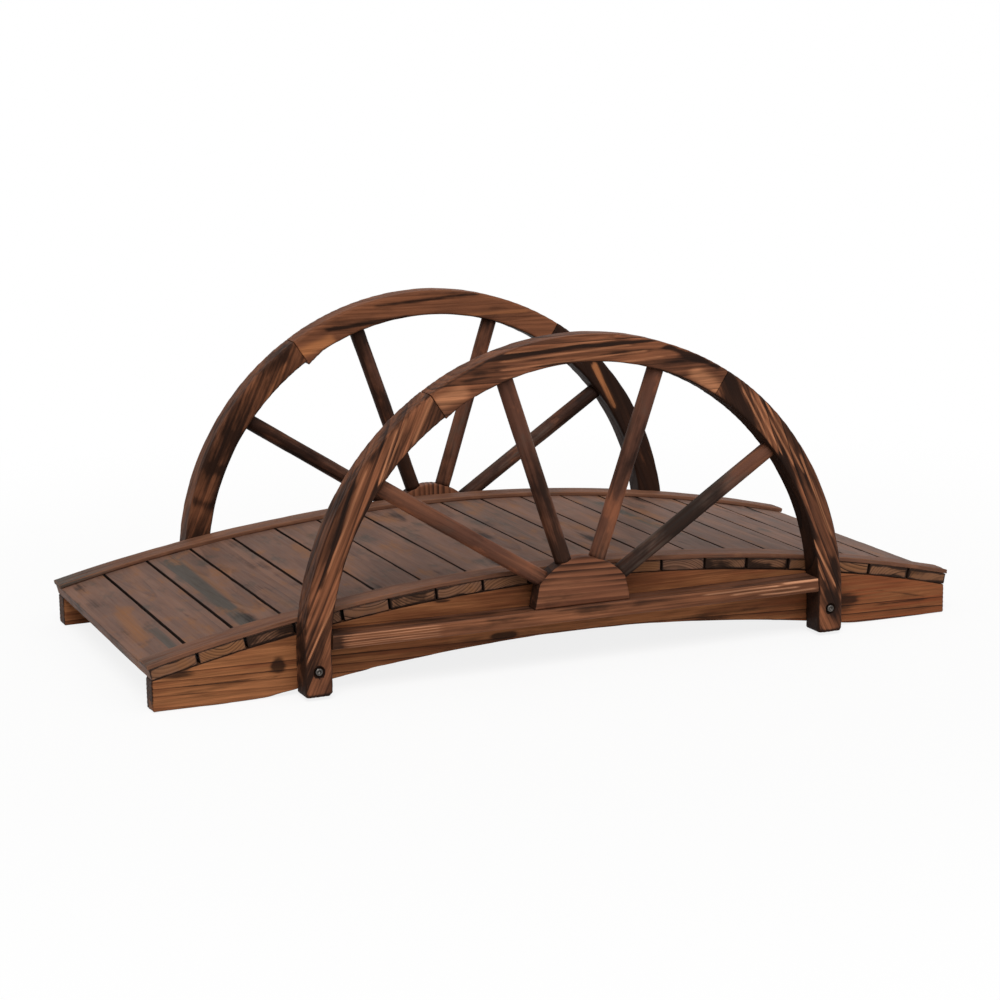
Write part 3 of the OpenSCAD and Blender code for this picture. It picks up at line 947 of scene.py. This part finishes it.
def make_hub(side_name, side, seed, upright):
    """Hub block: flat base on the rail, sloping sides and a domed top."""
    base_half = HUB_HIGH[0]
    thick = HUB_HIGH[1] - HUB_LOW[1]
    # The sides meet the dome at this half width
    shoulder = base_half
    for _ in range(30):
        rise = math.sqrt(HUB_R ** 2 - shoulder ** 2) - HUB_DROP
        shoulder = base_half - rise * math.tan(HUB_SLOPE)
    tall = (HUB_HIGH[2] - HUB_BASE_Z) / 2
    half = np.array([base_half, thick / 2, tall])
    quads, eased, normal, edge = eased_box(half, (FINE,) * 3)

    def shape(points):
        across = points[:, 0] / base_half
        up = (points[:, 2] / tall + 1) / 2
        x = across * (base_half - (base_half - shoulder) * up)
        crown = np.sqrt(HUB_R ** 2 - (across * shoulder) ** 2) - HUB_DROP
        return np.stack([x, side * WHEEL_Y + points[:, 1], HUB_BASE_Z + up * crown], 1)

    flat = shape(eased)
    g = np.stack([flat[:, 0], flat[:, 2] - HUB_BASE_Z, eased[:, 1]], 1)
    if upright:
        g = g[:, [1, 0, 2]]
    grain = Grain(seed, pith=(-0.16, 0.03), tilt=(0.03, 0.0), ring=0.0098, wander=0.003)
    ends = 2.0 * smoothstep(0.5, 0.9, np.abs(normal[:, 0]))
    off_middle = smoothstep(0.35, 0.6, np.abs(eased[:, 0]) / base_half)
    shoulders = 2.0 * smoothstep(0.5, 0.9, normal[:, 2]) * off_middle
    worn, facts = dress(eased, normal, edge, g, grain, tone=-0.35, wear=0.4, faces=ends + shoulders)
    build(side_name + "_hub", shape(worn), quads, facts, HUB_WOOD)


def circle_reach(angle, x, z, radius):
    """Distance from a place, along a direction, to a circle round the origin."""
    along = x * math.cos(angle) + z * math.sin(angle)
    return -along + np.sqrt(along ** 2 - (x ** 2 + z ** 2 - radius ** 2))


def hub_reach(angle, aim, offset):
    """Distance along a spoke from its aim to the hub's outline, at an offset across the spoke."""
    c, s = math.cos(angle), math.sin(angle)
    x, z = -offset * s, offset * c
    dome = circle_reach(angle, x, z + aim - DOME_Z, HUB_R)
    lean = math.tan(HUB_SLOPE)
    return np.minimum(dome, (HUB_HIGH[0] - x - lean * (z + aim - HUB_BASE_Z)) / (c + lean * s))


def rim_reach(angle, aim, offset):
    """Distance along a spoke from its aim to the inside of the rim, at an offset across the spoke."""
    return circle_reach(angle, -offset * math.sin(angle), offset * math.cos(angle) + aim - WHEEL_Z, RIM_IN_R)


def make_spoke(side_name, side, k, seed, tone, tint, lean, lift):
    """Round spoke, cut to sit on the hub and in the rim; it may lean or sit off a little."""
    outer = k in (1, 4)
    hand = -1 if k < 3 else 1
    angle = (OUTER_ANGLE if outer else INNER_ANGLE) + math.radians(lean)
    aim = (HUB_BASE_Z if outer else DOME_Z) + lift
    sides = 30
    around = np.arange(sides) * 2 * math.pi / sides
    stations = 44
    t, a = (v.ravel() for v in np.meshgrid(np.linspace(0, 1, stations), around, indexing="ij"))
    offset, depth = SPOKE_R * np.sin(a), SPOKE_R * np.cos(a)
    start = hub_reach(angle, aim, offset) - SPOKE_BITE
    end = rim_reach(angle, aim, offset) + SPOKE_BITE
    middle = float(np.mean((start + end) / 2))
    run = start + (end - start) * t
    normal = np.stack([np.zeros_like(a), np.sin(a), np.cos(a)], 1)
    g = np.stack([run - middle, offset, depth], 1)
    grain = Grain(seed, pith=(0.03, 0.03), tilt=(0.02, 0.03), ring=0.0075, wander=0.003)
    # A round spoke has no edges to wear
    edge = np.full_like(run, 0.02)
    length = float(np.mean(end - start))
    name = f"{side_name}_spoke_{k}"
    patches = [(-length / 2, 0.0, 0.05, 0.1, 1.1), (length / 2, 0.0, 0.03, 0.1, 1.0)]
    for share, reach, strength in SPOKE_STRETCHES.get(name, ()):
        patches.append((share * length / 2, 0.0, reach, 0.1, strength))
    grey = tint * (1 - 0.8 * smoothstep(0.1, 0.4, g[:, 0] / length))
    worn, facts = dress(g, normal, edge, g, grain, tone, grey, patches)
    worn[:, 0] += middle
    index = np.arange(stations * sides).reshape(stations, sides)
    nxt = np.roll(index, -1, axis=1)
    quads = np.stack([index[:-1], index[1:], nxt[1:], nxt[:-1]], -1).reshape(-1, 4)
    c, s = math.cos(angle), math.sin(angle)
    place = np.stack([
        hand * (worn[:, 0] * c - worn[:, 1] * s),
        side * WHEEL_Y + worn[:, 2],
        aim + worn[:, 0] * s + worn[:, 1] * c,
    ], 1)
    build_tube(name, place, quads, (index[0], index[-1]), facts)


def build_tube(name, place, quads, caps, facts):
    """Closes a tube's two ends with a middle point each, as quads, and makes the piece."""
    faces = [quads]
    for k, ring in enumerate(caps):
        pairs = ring.reshape(-1, 2)
        after = np.roll(pairs[:, 0], -1)
        fan = np.stack([np.full(len(pairs), len(place) + k), pairs[:, 0], pairs[:, 1], after], 1)
        faces.append(fan[:, ::-1] if k else fan)

    def closed(values):
        return np.concatenate([values, [values[ring].mean(0) for ring in caps]])

    joined = {key: closed(values) for key, values in facts.items()}
    build(name, closed(place), np.concatenate(faces), joined, SPOKE_WOOD)


def lathe(profile, turns, corners):
    """Turned form about the Y axis from (radius, height) pairs; the first ones have six sides."""
    bm = bmesh.new()
    rings = []
    for i, (r, h) in enumerate(profile):
        ring = []
        for k in range(turns):
            a = 2 * math.pi * k / turns
            six = math.cos(math.pi / 6) / math.cos(a % (math.pi / 3) - math.pi / 6)
            reach = r * six if i < corners else r
            ring.append(bm.verts.new((reach * math.cos(a), h, reach * math.sin(a))))
        rings.append(ring)
    for low, high in zip(rings, rings[1:]):
        for k in range(turns):
            bm.faces.new((low[k], low[(k + 1) % turns], high[(k + 1) % turns], high[k]))
    bm.faces.new(rings[0])
    bm.faces.new(rings[-1])
    bmesh.ops.recalc_face_normals(bm, faces=bm.faces)
    mesh = bpy.data.meshes.new("turned")
    bm.to_mesh(mesh)
    bm.free()
    mesh.shade_smooth()
    return mesh


def make_bolt(name, leg, x, z, side):
    """Button-headed bolt with a six-sided socket, in a shallow counterbore of the leg."""
    face_y = side * (BEAM_Y + RIM_T)
    walls = [(BORE_R, -BORE_DEPTH), (BORE_R, BORE_DEPTH)]
    bore = add_object("bore", lathe(walls, turns=32, corners=0))
    bore.location = (x, face_y, z)
    cut = leg.modifiers.new("bore", "BOOLEAN")
    cut.object = bore
    cut.solver = "EXACT"
    bpy.context.view_layer.update()
    whole = leg.evaluated_get(bpy.context.evaluated_depsgraph_get())
    bored = bpy.data.meshes.new_from_object(whole)
    leg.modifiers.remove(cut)
    # The counterbore's walls are darkened: char, and painted shade in the recess
    for vertex, mark_strength in zip(bored.vertices, bored.attributes["mark_strength"].data):
        away = vertex.co - bore.location
        if math.hypot(away.x, away.z) < 1.01 * BORE_R and abs(away.y) < 1.5 * BORE_DEPTH:
            mark_strength.value = BORE_SHADE_AND_CHAR
    leg.data = bored
    bpy.data.objects.remove(bore)

    mesh = lathe([(a * BOLT_R, side * h * BOLT_R) for a, h in BOLT_PROFILE], turns=24, corners=2)
    mesh.materials.append(BOLT_STEEL)
    seat = BORE_DEPTH - BOLT_SEAT * BOLT_R
    mesh.transform(Matrix.Translation((x, face_y - side * seat, z)))
    mesh.name = name
    bolt = add_object(name, mesh)
    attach(bolt, "root")


# Tone of each rim segment and how far its rings show; the ear of the top ones, and the bevels of the feet
RIM_TOPS = {"front": (-0.5, 1.0, 0.0035), "back": (-0.3, 0.6, 0.007)}
RIM_SIDES = {
    "front_left": (0.0, 1.0, ((0.007, 0.005), (0.002, 0.003))),
    "front_right": (0.3, 1.0, ((0.002, 0.003), (0.004, 0.005))),
    "back_left": (0.9, 0.4, ((0.005, 0.005), (0.005, 0.005))),
    "back_right": (2.1, 0.3, ((0.005, 0.005), (0.005, 0.005))),
}
# Scorched and pale stretches of some spokes: place from the hub, -1, to the rim, 1, then reach and strength
SPOKE_STRETCHES = {
    "front_spoke_1": [(-0.2, 0.03, 0.5)],
    "front_spoke_2": [(-0.35, 0.08, 1.2), (0.6, 0.05, -0.5)],
    "front_spoke_3": [(0.15, 0.08, 1.4), (0.85, 0.04, -1.2)],
    "front_spoke_4": [(-0.1, 0.09, 1.0), (0.75, 0.05, -1.2)],
}
# Tone, greyness, lean in degrees and lift in metres of each spoke
SPOKE_LOOKS = {
    "front": [
        (-0.7, -0.3, -0.9, 0.005), (0.0, 0.1, 0.5, 0.0), (-0.4, -0.2, -1.0, 0.0), (0.1, 0.5, 0.0, -0.004),
    ],
    "back": [(0.9, 0.2, -0.4, 0.0), (1.0, 0.2, -0.3, 0.0), (0.3, 0.1, 0.3, 0.0), (0.5, 0.4, 0.0, 0.0)],
}


def make_bridge():
    """Every piece of the bridge."""
    for n, (side_name, side) in enumerate(SIDES.items()):
        seed = 100 * (n + 1)
        make_beam(side_name, side, seed)
        make_strip(side_name, side, seed + 1)
        make_rail(side_name, side, seed + 2)
        make_hub(side_name, side, seed + 3, upright=side > 0)
        make_rim_top(side_name, side, seed + 4, *RIM_TOPS[side_name])
        for end_name, end in (("left", -1), ("right", 1)):
            looks = RIM_SIDES[f"{side_name}_{end_name}"]
            leg = make_rim_side(side_name, side, end_name, end, seed + 6 + end, *looks)
            make_bolt(f"{side_name}_{end_name}_bolt", leg, end * RIM_MID_R, BOLT_Z, side)
        for k, look in enumerate(SPOKE_LOOKS[side_name], 1):
            make_spoke(side_name, side, k, seed + 10 + k, *look)
    for i in range(len(BOARDS)):
        make_board(i, 300 + i)


make_bridge()

# Stage, light and camera

FLOOR_SIZE = 14.0
FLOOR_DROP = 0.0005
FLOOR_WHITE = 0.84
FLOOR_COLOUR = (0.86, 0.86, 0.86, 1)
# Distances from the middle between which the floor fades to white
FLOOR_FADE = (0.9, 2.2)
STUDIO_COLOUR = (1.0, 0.98, 0.95, 1)
STUDIO_LIGHT = 0.42
# Strength, spread in degrees and direction of each lamp
LAMPS = {"key": (2.1, 35, (0.3, 0.7, -1.0)), "fill": (0.5, 60, (-0.5, 0.8, -0.4))}
CAMERA_AT = (-1.68685, -4.06577, 1.11816)
CAMERA_YAW = math.radians(22.586)
CAMERA_PITCH = math.radians(-11.545)
CAMERA_ROLL = math.radians(-0.956)
CAMERA_LENS = 88.84
SENSOR_WIDTH = 36.0


def make_floor():
    """Pale floor that fades to white away from the bridge."""
    bpy.ops.mesh.primitive_plane_add(size=FLOOR_SIZE, location=(0, 0, -FLOOR_DROP))
    floor = bpy.context.object
    floor.name = "floor"
    material = bpy.data.materials.new("pale_floor")
    paint = Shader(material)
    place = paint.add("ShaderNodeTexCoord", out="Object")
    distance = paint.add("ShaderNodeVectorMath", {0: place}, "Value", operation="LENGTH")
    paper = paint.add("ShaderNodeBsdfDiffuse", {"Color": FLOOR_COLOUR})
    white = paint.add("ShaderNodeEmission")
    mixed = paint.mix(paint.seen() * distance.ramp(*FLOOR_FADE, FLOOR_WHITE, 1.0), paper, white)
    paint.close("ShaderNodeOutputMaterial", mixed)
    floor.data.materials.append(material)


def make_world():
    """Even studio light, seen as plain white."""
    world = bpy.data.worlds.new("studio")
    bpy.context.scene.world = world
    sky = Shader(world)
    lit = sky.add("ShaderNodeBackground", {"Color": STUDIO_COLOUR, "Strength": STUDIO_LIGHT})
    white = sky.add("ShaderNodeBackground", {"Color": (1, 1, 1, 1)})
    sky.close("ShaderNodeOutputWorld", sky.mix(sky.seen(), lit, white))


def make_sun(name, strength, spread, towards):
    """Soft lamp that shines along a direction."""
    light = bpy.data.lights.new(name, "SUN")
    light.energy = strength
    light.angle = math.radians(spread)
    lamp = add_object(name, light)
    lamp.rotation_euler = Vector(towards).to_track_quat("-Z", "Y").to_euler()


def make_camera():
    """Camera at the photograph's viewpoint."""
    data = bpy.data.cameras.new("camera")
    data.lens = CAMERA_LENS
    data.sensor_width = SENSOR_WIDTH
    camera = add_object("camera", data)
    turn = Matrix.Rotation(-CAMERA_YAW, 4, "Z") @ Matrix.Rotation(math.pi / 2 + CAMERA_PITCH, 4, "X")
    camera.matrix_world = Matrix.Translation(CAMERA_AT) @ turn @ Matrix.Rotation(CAMERA_ROLL, 4, "Z")
    bpy.context.scene.camera = camera


make_floor()
make_world()
for lamp_name, lamp_look in LAMPS.items():
    make_sun(lamp_name, *lamp_look)
make_camera()
bpy.context.scene.view_settings.view_transform = "Standard"
